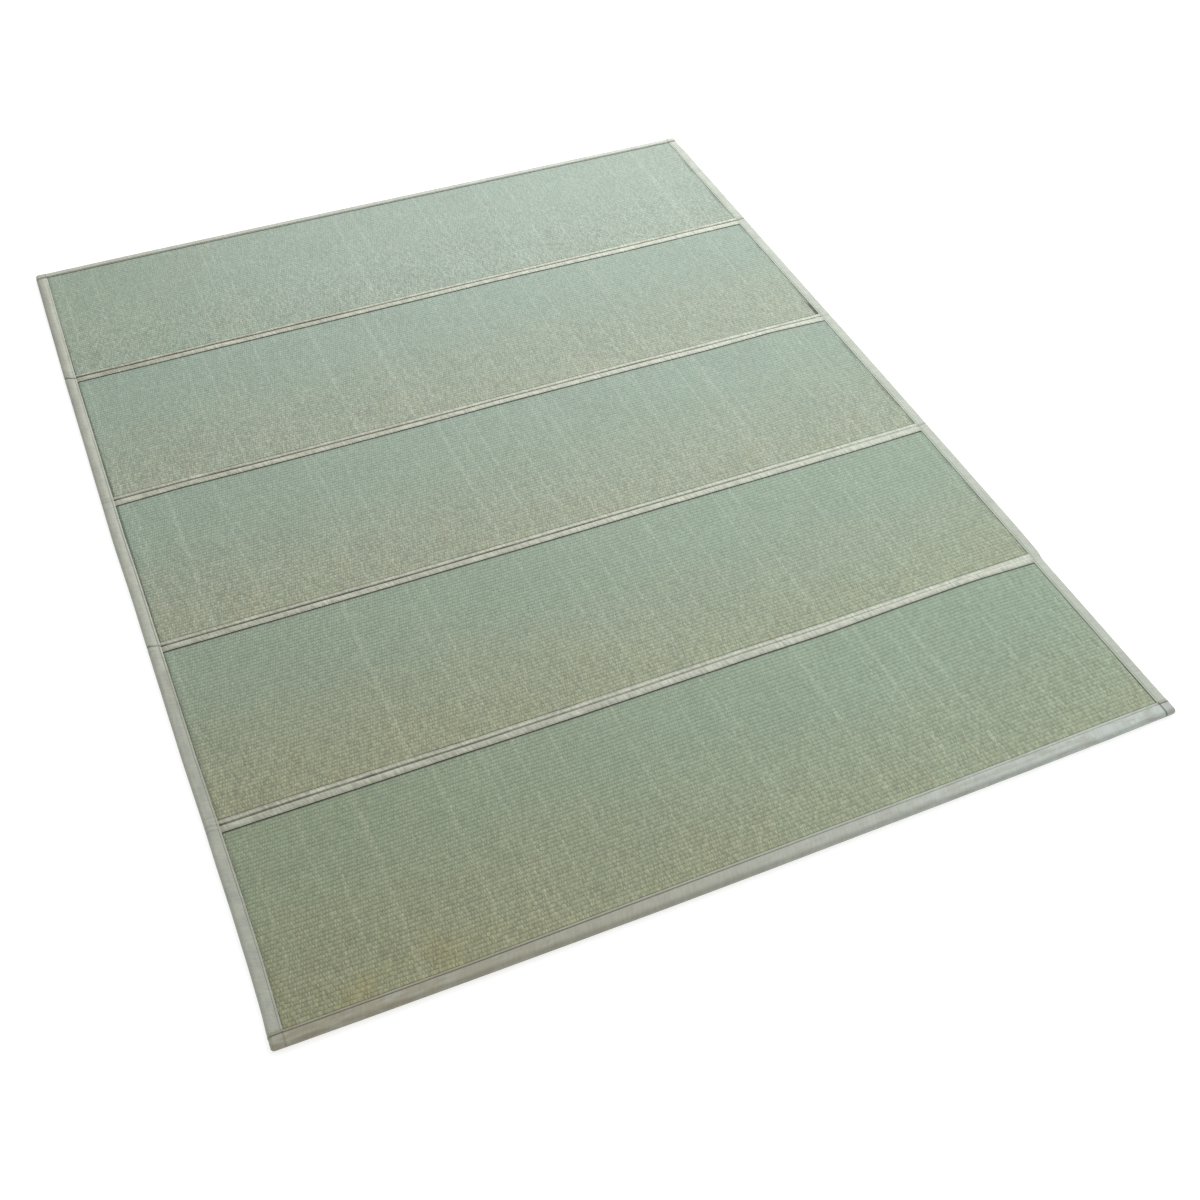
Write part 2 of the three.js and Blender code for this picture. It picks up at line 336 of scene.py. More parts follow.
def calc(tree, operation, *values, clamp=False):
    inputs = dict(enumerate(values))
    return node(tree, "ShaderNodeMath", inputs, operation=operation, use_clamp=clamp)


def times(tree, first, *others):
    """The product of several values."""
    for other in others:
        first = calc(tree, "MULTIPLY", first, other)
    return first


def scaled(tree, value, factor, start):
    """A value times a factor, counted from a start."""
    return calc(tree, "MULTIPLY_ADD", value, factor, start)


def spread(tree, value, low, high, new_low=0.0, new_high=1.0):
    inputs = {0: value, 1: low, 2: high, 3: new_low, 4: new_high}
    return node(tree, "ShaderNodeMapRange", inputs, clamp=True, interpolation_type="SMOOTHSTEP")


def blended(tree, factor, first, second, how="MIX"):
    inputs = {0: factor, 6: first, 7: second}
    return node(tree, "ShaderNodeMix", inputs, output=2, data_type="RGBA", blend_type=how)


def vector(tree, x, y, z=0.0):
    return node(tree, "ShaderNodeCombineXYZ", {0: x, 1: y, 2: z})


def parted(tree, given):
    """The three parts of a vector."""
    made = tree.nodes.new("ShaderNodeSeparateXYZ")
    tree.links.new(given, made.inputs[0])
    return made.outputs[0], made.outputs[1], made.outputs[2]


def noise(tree, at, scale, detail=2.0, roughness=0.5):
    inputs = {"Vector": at, "Scale": scale, "Detail": detail, "Roughness": roughness}
    return node(tree, "ShaderNodeTexNoise", inputs)


def luck(tree, x, y, z):
    """A value from 0 to 1 by chance, the same wherever x, y and z are the same."""
    at = vector(tree, x, y, z)
    return node(tree, "ShaderNodeTexWhiteNoise", {"Vector": at}, noise_dimensions="3D")


def new_group(name, inputs, outputs):
    """An empty shader group with float or vector sockets, and the sockets of its two ends."""
    group = bpy.data.node_groups.new(name, "ShaderNodeTree")
    for label, kind, start in inputs:
        socket = group.interface.new_socket(label, in_out="INPUT", socket_type=kind)
        if start is not None:
            socket.default_value = start
    for label, kind in outputs:
        group.interface.new_socket(label, in_out="OUTPUT", socket_type=kind)
    start = group.nodes.new("NodeGroupInput")
    end = group.nodes.new("NodeGroupOutput")
    return group, start.outputs, end.inputs


def use_group(tree, group, inputs):
    made = tree.nodes.new("ShaderNodeGroup")
    made.node_tree = group
    for key, value in inputs.items():
        if isinstance(value, bpy.types.NodeSocket):
            tree.links.new(value, made.inputs[key])
        else:
            made.inputs[key].default_value = value
    return made.outputs


def new_material(name):
    material = bpy.data.materials.new(name)
    material.use_nodes = True
    tree = material.node_tree
    return material, tree, tree.nodes["Principled BSDF"]


def shade_by(tree, colour, tone):
    """A colour made darker or lighter by a tone."""
    return blended(tree, 1.0, colour, vector(tree, tone, tone, tone), "MULTIPLY")


FLOAT = "NodeSocketFloat"
VECTOR = "NodeSocketVector"


def tone_group():
    """Soft cloudy change of tone that every cloth and the rush have, and fine grit in it."""
    tree, given, out = new_group(
        "uneven_tone",
        [
            ("Place", VECTOR, None),
            ("Cloud Size", FLOAT, 0.1),
            ("Cloud", FLOAT, 0.1),
            ("Grit", FLOAT, 0.1),
        ],
        [("Tone", FLOAT)],
    )
    cloud = noise(tree, given["Place"], calc(tree, "DIVIDE", 1.0, given["Cloud Size"]), detail=3.0)
    grit = noise(tree, given["Place"], 900.0, detail=1.0)
    cloudy = times(tree, calc(tree, "SUBTRACT", cloud, 0.5), given["Cloud"])
    gritty = times(tree, calc(tree, "SUBTRACT", grit, 0.5), given["Grit"])
    tone = calc(tree, "ADD", 1.0, calc(tree, "ADD", cloudy, gritty))
    tree.links.new(tone, out["Tone"])
    return tree


UNEVEN_TONE = tone_group()
PAIR = 0.0042
PANELS_PER_METRE = 2.5
BACK_PANEL = 9
GREEN = (0.259, 0.331, 0.250, 1)
MIDDLING = (0.282, 0.329, 0.243, 1)
TAN = (0.322, 0.330, 0.222, 1)
BLEACHED = (0.47, 0.51, 0.42, 1)
OLIVE = (0.300, 0.290, 0.130, 1)
SHEEN_BLUE = (0.43, 0.52, 0.49, 1)


def woven_rush():
    material, tree, shader = new_material("woven_rush")
    across, counted, _ = parted(tree, node(tree, "ShaderNodeUVMap", uv_map="weave"))
    from_back, _, _ = parted(tree, node(tree, "ShaderNodeUVMap", uv_map="ends"))
    where = node(tree, "ShaderNodeTexCoord", output="Object")
    wide, along, _ = parted(tree, where)

    # The panels count from 5 at the front to 9 at the back.
    panel = calc(tree, "FLOOR", scaled(tree, along, PANELS_PER_METRE, 7.5))

    # Straws lie in pairs. Each pair dips under the warp a little before or behind the next one.
    bend_at = vector(tree, times(tree, across, 60.0), times(tree, along, 9.0))
    pairs = calc(tree, "DIVIDE", scaled(tree, noise(tree, bend_at, 1.0), 0.004, across), PAIR)
    dip = luck(tree, calc(tree, "FLOOR", pairs), calc(tree, "ROUND", counted), panel)
    ribs = calc(tree, "ADD", counted, scaled(tree, dip, 0.24, -0.12))
    rib = calc(tree, "FLOOR", ribs)
    pairs = scaled(tree, calc(tree, "PINGPONG", rib, 1.0), 0.5, pairs)
    pair = calc(tree, "FLOOR", pairs)
    in_pair, in_rib = calc(tree, "FRACT", pairs), calc(tree, "FRACT", ribs)
    crossing = scaled(tree, panel, 100.0, rib)
    chance = luck(tree, pair, crossing, 9.0)
    straw_chance = luck(tree, calc(tree, "FLOOR", times(tree, pairs, 2.0)), crossing, 3.0)
    pair_chance = luck(tree, pair, panel, 5.0)
    round_pair = calc(tree, "SINE", times(tree, in_pair, math.pi))
    to_groove = times(tree, calc(tree, "ABSOLUTE", calc(tree, "SUBTRACT", in_rib, 0.5)), 2.0)
    groove = spread(tree, to_groove, 0.55, 1.0)

    # Green rush turns to straw colour towards the front of each panel, straw by straw.
    forward = calc(tree, "FRACT", times(tree, calc(tree, "SUBTRACT", 1.0, along), PANELS_PER_METRE))
    from_first = calc(tree, "SUBTRACT", BACK_PANEL, panel)
    ripening = scaled(tree, from_first, 0.05, spread(tree, from_first, 0.0, 1.0, 0.15, 0.8))
    streak_at = vector(tree, times(tree, across, 150.0), times(tree, along, 5.0), panel)
    streak = calc(tree, "SUBTRACT", noise(tree, streak_at, 1.0, roughness=0.7), 0.5)
    patch_at = vector(tree, times(tree, across, 9.0), times(tree, along, 7.0), panel)
    patch = calc(tree, "SUBTRACT", noise(tree, patch_at, 1.0), 0.5)
    ripe = times(tree, spread(tree, forward, 0.1, 1.0, -0.3, 0.5), ripening)
    ripe = scaled(tree, streak, 0.62, scaled(tree, patch, 0.4, calc(tree, "ADD", ripe, 0.25)))
    ripe = scaled(tree, calc(tree, "SUBTRACT", chance, 0.5), 0.12, ripe)
    colour = blended(tree, spread(tree, ripe, 0.0, 0.5), GREEN, MIDDLING)
    colour = blended(tree, spread(tree, ripe, 0.45, 1.1), colour, TAN)
    bleached = times(tree, calc(tree, "GREATER_THAN", pair_chance, 0.93), 0.18)
    colour = blended(tree, bleached, colour, BLEACHED)
    at_front = times(tree, spread(tree, along, -0.90, -0.96), spread(tree, wide, -0.35, -0.6))
    yellowed = times(tree, spread(tree, patch, -0.05, 0.15), at_front, 0.3)
    colour = blended(tree, yellowed, colour, OLIVE)
    # Painted light and shade: the rush is made lighter and bluer towards the back, a painted sheen, and
    # darker and warmer towards the front and the left, painted shade.
    across_mat = spread(tree, wide, -0.8, 0.5)
    at_near = blended(tree, across_mat, (0.90, 0.83, 0.70, 1), (0.95, 0.985, 0.93, 1))
    at_far = blended(tree, across_mat, (1.02, 1.02, 1.07, 1), (1.04, 1.04, 1.11, 1))
    light_tint = blended(tree, spread(tree, along, -1.0, 0.4), at_near, at_far)
    colour = blended(tree, 1.0, colour, light_tint, "MULTIPLY")
    # Painted sheen: a pale cool veil over the back of the mat, from its middle to its right.
    sheen_veil = times(tree, spread(tree, along, 0.25, 0.95), spread(tree, wide, -0.75, -0.1), 0.2)
    colour = blended(tree, sheen_veil, colour, SHEEN_BLUE)

    # Tone: pair by pair along its way, crossing by crossing, and clouds over all. Then painted shade on
    # the rounded sides of each pair of straws and in the grooves between the ribs, deeper to the left,
    # and painted shadow along the back of each panel and beside the side bindings.
    tones = use_group(tree, UNEVEN_TONE, {"Place": where, "Cloud Size": 0.12, "Cloud": 0.1, "Grit": 0.1})
    run_at = vector(tree, times(tree, pair, 7.31), times(tree, along, 26.0), panel)
    run = calc(tree, "SUBTRACT", noise(tree, run_at, 1.0, detail=1.0), 0.5)
    tone = times(tree, tones["Tone"], scaled(tree, run, 0.16, 1.0))
    speckle = spread(tree, forward, 0.2, 1.0, 0.1, 0.15)
    tone = times(tree, tone, scaled(tree, calc(tree, "SUBTRACT", chance, 0.5), speckle, 1.0))
    fleck = spread(tree, forward, 0.2, 1.0, 0.24, 0.44)
    tone = times(tree, tone, scaled(tree, calc(tree, "SUBTRACT", straw_chance, 0.5), fleck, 1.0))
    # Painted shade: each pair of straws is darker towards its sides, and each groove between ribs is
    # darker, more so at the left.
    tone = times(tree, tone, scaled(tree, calc(tree, "POWER", round_pair, 0.5), 0.14, 0.88))
    groove_shade = scaled(tree, dip, 0.14, spread(tree, wide, -0.6, 0.5, 0.17, 0.05))
    tone = times(tree, tone, calc(tree, "SUBTRACT", 1.0, times(tree, groove, groove_shade)))
    # Painted shadow: a dark band along the back of each panel, in front of the raised edge of the tape or
    # binding behind it, stronger at the left. Painted shade along the rush just inside each side binding:
    # all along the left, and in patches and a few darker places at the right.
    edge_shadow_depth = spread(tree, wide, 0.0, 0.7, 0.66, 0.56)
    edge_shadow = times(tree, spread(tree, from_back, 0.0042, 0.0008), edge_shadow_depth)
    from_side = calc(tree, "SUBTRACT", HALF_WIDTH * MM, calc(tree, "ABSOLUTE", wide))
    patchy = spread(tree, noise(tree, where, 9.0), 0.4, 0.6, 0.1, 0.7)
    broken = calc(tree, "MAXIMUM", patchy, spread(tree, wide, 0.2, -0.2))
    open_gap = times(tree, spread(tree, along, 0.196, 0.204), spread(tree, along, 0.275, 0.245))
    front_gap = times(tree, spread(tree, along, -0.84, -0.89), spread(tree, wide, 0.0, 0.2))
    open_gap = calc(tree, "MAXIMUM", times(tree, open_gap, spread(tree, wide, 0.0, 0.2)), front_gap)
    side_edge_shade = calc(tree, "MAXIMUM", times(tree, broken, 0.4), times(tree, open_gap, 0.75))
    side_edge_shadow = times(tree, spread(tree, from_side, 0.0262, 0.0242), side_edge_shade)
    tone = times(tree, tone, calc(tree, "SUBTRACT", 1.0, edge_shadow), calc(tree, "SUBTRACT", 1.0, side_edge_shadow))
    tree.links.new(shade_by(tree, colour, tone), shader.inputs["Base Color"])
    rough = scaled(tree, chance, 0.14, 0.52)
    tree.links.new(scaled(tree, groove, 0.2, rough), shader.inputs["Roughness"])
    shader.inputs["Specular IOR Level"].default_value = 0.4

    # Fine relief: rounded pairs of straws, each a little high or low where it crosses a rib.
    raised = times(tree, round_pair, scaled(tree, chance, 0.7, 0.5), scaled(tree, groove, -0.6, 1.0))
    bump = {"Height": raised, "Distance": 0.0006, "Strength": 0.6}
    tree.links.new(node(tree, "ShaderNodeBump", bump), shader.inputs["Normal"])
    return material


def glued_backing():
    """A thin felted cloth that covers the underside of each pad."""
    material, tree, shader = new_material("glued_backing")
    where = node(tree, "ShaderNodeTexCoord", output="Object")
    tones = use_group(tree, UNEVEN_TONE, {"Place": where, "Cloud Size": 0.08, "Cloud": 0.2, "Grit": 0.3})
    colour = shade_by(tree, (0.36, 0.37, 0.33, 1), tones["Tone"])
    tree.links.new(colour, shader.inputs["Base Color"])
    fibres = noise(tree, where, 700.0, detail=3.0, roughness=0.7)
    tree.links.new(scaled(tree, fibres, 0.2, 0.75), shader.inputs["Roughness"])
    bump = {"Height": fibres, "Distance": 0.0003, "Strength": 0.5}
    tree.links.new(node(tree, "ShaderNodeBump", bump), shader.inputs["Normal"])
    return material


WOVEN_RUSH = woven_rush()
GLUED_BACKING = glued_backing()
for number in range(1, PANEL_COUNT + 1):
    panel = rush_panel(number)
    panel.data.materials.append(WOVEN_RUSH)
    panel.data.materials.append(GLUED_BACKING)
    for face in panel.data.polygons:
        face.material_index = 1 if face.normal.z < -0.5 else 0
        face.use_smooth = face.normal.z > -0.999
    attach(panel, "root")
    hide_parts(f"rush_panel_{number}")


# Seam tapes. Each is a strip of twill, hemmed along both edges, that hinges two pads. It is
# machine sewn near both edges, and folding has pulled its middle down into the joint, deeper
# at the left of the mat.
TAPE_TOP = 14
CLOTH = 0.5
HEM_TURN = 0.34
HEM = 5
TAPE_END = 782
TAPE_ROWS = [-14, -13.4, -12.7, -12, -10.5, -8.5, -6.5, -4.5, -3.2, -2.4, -1.8, -1.2, -0.7]
TAPE_ROWS += [-0.3, 0.1, 0.6, 1.2, 1.8, 2.4, 3, 3.7, 4.5, 5.4, 6.5, 7.6, 8.4, 9.1, 9.8, 10.5]
TAPE_SEAMS = (-12.7, 9.1)
STITCH_PITCH = 4
STITCH_SIZE = (2.9, 0.62, 0.5)
STITCH_DEEP = 0.12
SIDE_REACH = 23

# How dark each tape is painted: painted shade in its groove at the left, the middle and the right,
# painted shade on its near band as it rounds down and in its seams' troughs, and dark spots as place
# along, place behind the joint, length, width and depth.
GROOVE_SHADE = {1: (1, 0.6, 0.45), 2: (0.6, 0.5, 0.4), 3: (0.6, 0.55, 0.15), 4: (0.5, 0.2, 0)}
NEAR_BAND_SHADE = {1: 0.02, 2: 0.04, 3: 0.09, 4: 0.14}
SEAM_SHADE = {1: 0.08, 2: 0.08, 3: 0.08, 4: 0.25}
DARK_SPOTS = {
    1: [(-250, 3, 60, 4, 0.35), (610, 8.5, 80, 3.5, 0.35), (-690, -7, 110, 7, 0.25)],
    2: [(-545, 4, 45, 3.5, 0.35), (-220, 3.5, 90, 3, 0.2), (310, 3.5, 50, 3, 0.2)],
    3: [(-430, 3, 170, 3.5, 0.25), (-140, 3, 60, 3, 0.15)],
    4: [(-520, 4, 9, 3.5, 0.4), (-320, 2, 60, 2.5, 0.2)],
}


def on_tape(x, away, up, joint):
    """Places on a tape: along its joint, behind it, and above the tape's upper side."""
    dip = joint_dip(x, away, joint)
    flat = 1 - np.clip(dip, 0, 1)
    puff = 0.12 * soft_noise(60 + joint, x, away * 6, 34, 40)
    puff += 0.08 * soft_noise(70 + joint, x, away * 8, 9, 30)
    crown = 0.25 * np.sin(math.pi * np.clip((away + NEAR_REACH) / (NEAR_REACH - 1), 0, 1))
    lip = 0.2 * np.exp(-(((away + 1.8) / 1.3) ** 2))
    seams = sum(0.25 * np.clip(1 - np.abs(away - seam) / 0.7, 0, 1) for seam in TAPE_SEAMS)
    z = TAPE_TOP - dip + flat * (puff + crown + lip) - seams + up
    share = pressed_share(HALF_WIDTH - np.abs(x), SIDE_PRESS)
    drift = 0.35 * soft_noise(100 + joint, x, away * 4, 70, 40)
    return np.stack([x, joint_y(joint) + away + drift, MIDDLE + (z - MIDDLE) * share], axis=1)


def give_marks(piece, values):
    """Keeps how dark each vertex is painted, from 0 to 1, for the cloth's colour: painted shade, and on
    the tapes also dark spots.
    """
    marks = piece.data.attributes.new(name="shade_and_spots", type="FLOAT", domain="POINT")
    marks.data.foreach_set("value", np.clip(values, 0, 1).astype(np.float32))


def thicken(piece):
    """Gives a sheet the thickness of its cloth, below its upper side."""
    wall = piece.modifiers.new("wall", "SOLIDIFY")
    wall.thickness = CLOTH * MM
    wall.offset = -1
    bpy.ops.object.modifier_apply(modifier="wall")
    bpy.ops.object.shade_smooth_by_angle(angle=math.radians(60))


def seam_tape(joint):
    columns = np.linspace(-TAPE_END, TAPE_END, 160)
    piece = laid_grid(f"joint_tape_{joint}", columns, TAPE_ROWS)
    for edge, turn in ((-NEAR_REACH, -1), (FAR_REACH, 1)):
        flat = places(piece)
        edit(piece, np.abs(flat[:, 1] - edge) < 0.01)
        bpy.ops.mesh.spin(
            steps=4, angle=turn * math.pi, center=(0, edge * MM, -HEM_TURN * MM), axis=(1, 0, 0)
        )
        bpy.ops.mesh.extrude_edges_move(TRANSFORM_OT_translate={"value": (0, -turn * HEM * MM, 0)})
        done_editing(piece)
    x, away, up = places(piece).T
    give_flat_map(piece, "cloth", x * MM, away * MM)
    merge_and_face_out(piece)
    x, away, up = places(piece).T
    # Painted shade: darker as the groove is deeper, on the near band towards its outer edge, along the
    # seams' troughs, and near the side binding, where the tape's end lifts and its groove hollows. The
    # dark spots are added as listed.
    deep = np.clip(joint_dip(x, away, joint) / 3, 0, 1)
    groove = deep * np.interp(x, [-HALF_WIDTH, 0, HALF_WIDTH], GROOVE_SHADE[joint])
    groove = groove + NEAR_BAND_SHADE[joint] * np.clip((-away - 2) / 5, 0, 1)
    groove = groove * (1 + 0.5 * soft_noise(110 + joint, x, away, 26, 2000))
    seams = sum(np.clip(1 - np.abs(away - seam) / 0.9, 0, 1) for seam in TAPE_SEAMS)
    for middle, behind, long, wide, depth in DARK_SPOTS[joint]:
        far_off = ((x - middle) / long) ** 2 + ((away - behind) / wide) ** 2
        groove = groove + depth * np.exp(-(far_off**1.5))
    from_binding = x + HALF_WIDTH - SIDE_REACH
    binding_shadow = 0.35 * np.clip(1 - from_binding / 9, 0, 1)
    hollow_shade = 0.4 * np.clip(1 - from_binding / 12, 0, 1) * np.clip(1 - np.abs(away - 3) / 3.5, 0, 1)
    give_marks(piece, groove + SEAM_SHADE[joint] * seams + binding_shadow + hollow_shade)
    put(piece, as_it_lies(on_tape(x, away, up, joint)))
    thicken(piece)
    return piece


def stitch_row(name, start, end, along_strip):
    """A row of stitches: one is modelled, repeated, and moved to its place by a rule."""
    bpy.ops.object.select_all(action="DESELECT")
    bpy.ops.mesh.primitive_uv_sphere_add(
        segments=5, ring_count=3, radius=0.5 * MM, rotation=(0, math.pi / 2, 0)
    )
    piece = bpy.context.object
    piece.name = name
    piece.data.name = name
    bpy.ops.object.transform_apply(location=False, rotation=True, scale=False)
    bpy.ops.transform.resize(value=STITCH_SIZE)
    bpy.ops.object.transform_apply(location=False, rotation=False, scale=True)
    row = piece.modifiers.new("row", "ARRAY")
    row.count = int((end - start) / STITCH_PITCH)
    row.use_relative_offset = False
    row.use_constant_offset = True
    row.constant_offset_displace = (STITCH_PITCH * MM, 0, 0)
    bpy.ops.object.modifier_apply(modifier="row")
    x, aside, up = places(piece).T
    x = x + start
    aside = aside + 0.12 * np.sin(2.4 * np.floor((x - start) / STITCH_PITCH + 0.5))
    put(piece, as_it_lies(along_strip(x, aside, up + STITCH_DEEP)))
    bpy.ops.object.shade_smooth()
    return piece


def twill_group():
    """Fine slanting lines of a twill, and the threads in them, on a cloth's own flat map."""
    tree, given, out = new_group(
        "twill_weave",
        [("Cloth", VECTOR, None), ("Line Pitch", FLOAT, 0.0008)],
        [("Relief", FLOAT), ("Shade", FLOAT)],
    )
    u, v, _ = parted(tree, given["Cloth"])
    u = calc(tree, "DIVIDE", u, given["Line Pitch"])
    v = calc(tree, "DIVIDE", v, given["Line Pitch"])
    line = calc(tree, "SINE", times(tree, calc(tree, "FRACT", calc(tree, "ADD", u, v)), math.pi))
    thread = calc(tree, "SINE", times(tree, calc(tree, "FRACT", times(tree, u, 2.0)), math.pi))
    relief = times(tree, line, scaled(tree, thread, 0.4, 0.6))
    tree.links.new(relief, out["Relief"])
    tree.links.new(scaled(tree, relief, 0.1, 0.93), out["Shade"])
    return tree


TWILL = twill_group()
SHADE_AND_SPOT_COLOUR = (0.090, 0.090, 0.058, 1)


def twill_cloth(name, left_colour, right_colour, mottle, roughness, gathers):
    """Twill whose tone changes from the mat's left to its right, in long cloudy streaks. The change from
    left to right is painted light and shade, which sets how light each end of a strip looks.
    """
    material, tree, shader = new_material(name)
    cloth = node(tree, "ShaderNodeUVMap", uv_map="cloth")
    u, v, _ = parted(tree, cloth)
    where = node(tree, "ShaderNodeTexCoord", output="Object")
    wide, _, _ = parted(tree, where)
    twill = use_group(tree, TWILL, {"Cloth": cloth})
    tones = use_group(tree, UNEVEN_TONE, {"Place": where, "Cloud Size": 0.03, "Cloud": 0.3, "Grit": 0.08})
    # Painted light and shade: the cloth's colour runs from the mat's left to its right.
    colour = blended(tree, spread(tree, wide, -0.8, 0.8), left_colour, right_colour)
    streak_at = vector(tree, times(tree, u, 24.0), times(tree, v, 130.0))
    streak = noise(tree, streak_at, 1.0, detail=3.0)
    colour = blended(tree, spread(tree, streak, 0.45, 0.65, 0.0, 0.7), colour, mottle)
    # Painted light and shade on the puckers: the same noise that bumps them makes the cloth lighter on
    # their ridges and darker in their hollows.
    puckers_at = vector(tree, times(tree, scaled(tree, v, 0.3, u), 240.0), times(tree, v, 50.0))
    puckers = noise(tree, puckers_at, 1.0, detail=1.0)
    pucker_shading = scaled(tree, puckers, gathers, 1 - gathers / 2)
    tone = times(tree, tones["Tone"], twill["Shade"], pucker_shading)
    # Painted shade: the cloth is darkened towards a dark colour where its marks say, in grooves, creases,
    # seams, ditches and roundings. On the tapes the marks also hold dark spots.
    shade_and_spots = node(tree, "ShaderNodeAttribute", output=2, attribute_name="shade_and_spots")
    colour = blended(tree, shade_and_spots, shade_by(tree, colour, tone), SHADE_AND_SPOT_COLOUR)
    tree.links.new(colour, shader.inputs["Base Color"])
    tree.links.new(scaled(tree, streak, 0.16, roughness), shader.inputs["Roughness"])
    fine = {"Height": twill["Relief"], "Distance": 0.0001, "Strength": 0.5}
    folds = {"Height": puckers, "Distance": 0.0007, "Strength": 0.2 + 0.6 * gathers}
    folds["Normal"] = node(tree, "ShaderNodeBump", fine)
    tree.links.new(node(tree, "ShaderNodeBump", folds), shader.inputs["Normal"])
    return material


def sewing_thread(name, colour):
    """Twisted cotton thread."""
    material, tree, shader = new_material(name)
    where = node(tree, "ShaderNodeTexCoord", output="Object")
    x, y, _ = parted(tree, where)
    twist = calc(tree, "SINE", times(tree, calc(tree, "ADD", x, y), 9000.0))
    tones = use_group(tree, UNEVEN_TONE, {"Place": where, "Cloud Size": 0.02, "Cloud": 0.4, "Grit": 0.2})
    # Painted shade: the thread is darker in the hollows of its twist, which the bump also draws.
    tone = times(tree, tones["Tone"], scaled(tree, twist, 0.08, 0.94))
    tree.links.new(shade_by(tree, colour, tone), shader.inputs["Base Color"])
    shader.inputs["Roughness"].default_value = 0.6
    bump = {"Height": twist, "Distance": 0.00005, "Strength": 0.4}
    tree.links.new(node(tree, "ShaderNodeBump", bump), shader.inputs["Normal"])
    return material


def sewn(piece, material):
    """A piece's material and body."""
    piece.data.materials.append(material)
    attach(piece, "root")


TAPE_TWILL = twill_cloth(
    "tape_twill", (0.375, 0.383, 0.300, 1), (0.500, 0.540, 0.450, 1), (0.50, 0.52, 0.43, 1), 0.5, 1.0
)
TAPE_THREAD = sewing_thread("tape_thread", (0.37, 0.375, 0.30, 1))
for joint in range(1, PANEL_COUNT):
    tape = seam_tape(joint)
    sewn(tape, TAPE_TWILL)
    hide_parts(f"seam_tape_{joint}")
    for side, seam in zip(("near", "far"), TAPE_SEAMS):
        row = stitch_row(
            f"tape_stitches_{joint}_{side}",
            STITCH_PITCH - TAPE_END,
            TAPE_END,
            lambda x, aside, up: on_tape(x, seam + aside, up, joint),
        )
        sewn(row, TAPE_THREAD)


# Side bindings. Each is a strip of twill folded lengthwise round the side of all five pads and
# sewn through. It has been folded with the mat, so it is creased across at each joint.
SIDE_SEAM = 20
SIDE_STITCH_MARGINS = (30, 28)
BULGE = {"left": 0, "right": 1.5}
BULGE_START = -590
BINDING_TURN = 0.25
BEND_STEPS = 10

# The creases of each side: joint, place at the outer and at the inner edge, depth, and width
# behind and before its line.
SIDE_CREASES = {
    "left": [
        (1, 11, -1, 2.4, 3, 5),
        (1, 17, 12, 0.5, 2.5, 3),
        (2, 22, 20, 0.5, 2.5, 2.5),
        (2, 9, 9, 0.7, 2.5, 2.5),
        (2, 2, 2, 1.2, 2, 2.5),
        (2, -18, -18, 0.6, 2.5, 2.5),
        (3, 11, 4, 2.2, 2, 5),
        (3, -6, -7, 0.5, 2, 3),
        (4, 20, 20, 0.5, 2, 2),
        (4, 5, 3, 0.7, 2.5, 3),
        (4, -6, -6, 0.6, 2.5, 3),
    ],
    "right": [
        (1, 5, 1.5, 2, 4, 6),
        (1, 14, 8, 0.6, 3, 3),
        (2, 1, 0, 0.8, 3, 4),
        (3, 5, 1, 1.4, 3, 5),
        (3, -5, -9, 0.5, 3, 3),
        (4, 0, 0, 0.5, 3, 4),
    ],
}


def flap_rows(seam, reach):
    """Rows across the upper flap of a binding, closer together along its stitches."""
    by_seam = [seam - 1.8, seam - 0.8, seam, seam + 0.8, seam + 1.6]
    return [MIDDLE, 9.5, 12, 14.5, *[row for row in by_seam if row < reach - 0.3], reach - 0.2, reach]


def binding_strip(name, alongs, seam, reach):
    """A strip laid along X, folded round an edge at Y = 0 with the mat at higher Y."""
    piece = laid_grid(name, alongs, flap_rows(seam, reach))
    put(piece, places(piece) + np.array([0, 0, 2 * MIDDLE]))
    flat = places(piece)
    edit(piece, flat[:, 1] > reach - 0.01)
    bpy.ops.mesh.spin(
        steps=3,
        angle=math.pi,
        center=(0, reach * MM, (2 * MIDDLE - BINDING_TURN - CLOTH / 2) * MM),
        axis=(1, 0, 0),
    )
    bpy.ops.mesh.extrude_edges_move(TRANSFORM_OT_translate={"value": (0, -HEM * MM, 0)})
    done_editing(piece)
    flat = places(piece)
    edit(piece, (flat[:, 1] < MIDDLE + 0.01) & (flat[:, 2] > 2 * MIDDLE - 0.01))
    bpy.ops.mesh.spin(
        steps=BEND_STEPS, angle=-math.pi, center=(0, MIDDLE * MM, MIDDLE * MM), axis=(1, 0, 0)
    )
    for _ in range(2):
        step = (reach - MIDDLE) / 2
        bpy.ops.mesh.extrude_edges_move(TRANSFORM_OT_translate={"value": (0, step * MM, 0)})
    done_editing(piece)
    x, inward, z = places(piece).T
    turned = np.arctan2(MIDDLE - inward, z - MIDDLE)
    across = np.where(inward < MIDDLE, reach - MIDDLE + MIDDLE * turned, reach - inward)
    below = (inward >= MIDDLE) & (z < 1)
    across = np.where(below, reach - MIDDLE + MIDDLE * math.pi + inward - MIDDLE, across)
    give_flat_map(piece, "cloth", x * MM, across * MM)
    merge_and_face_out(piece)
    return piece


def uneven_columns(half, dense):
    """Stations along a strip, closer together near the dense places."""
    stations = set(np.round(np.linspace(-half, half, round(2 * half / 11)), 2))
    for place, reach in dense:
        stations = {s for s in stations if abs(s - place) > reach}
        fine = np.linspace(place - reach, place + reach, round(2 * reach / 1.5))
        stations |= set(np.round(fine, 2))
    return np.array(sorted(s for s in stations if abs(s) <= half))


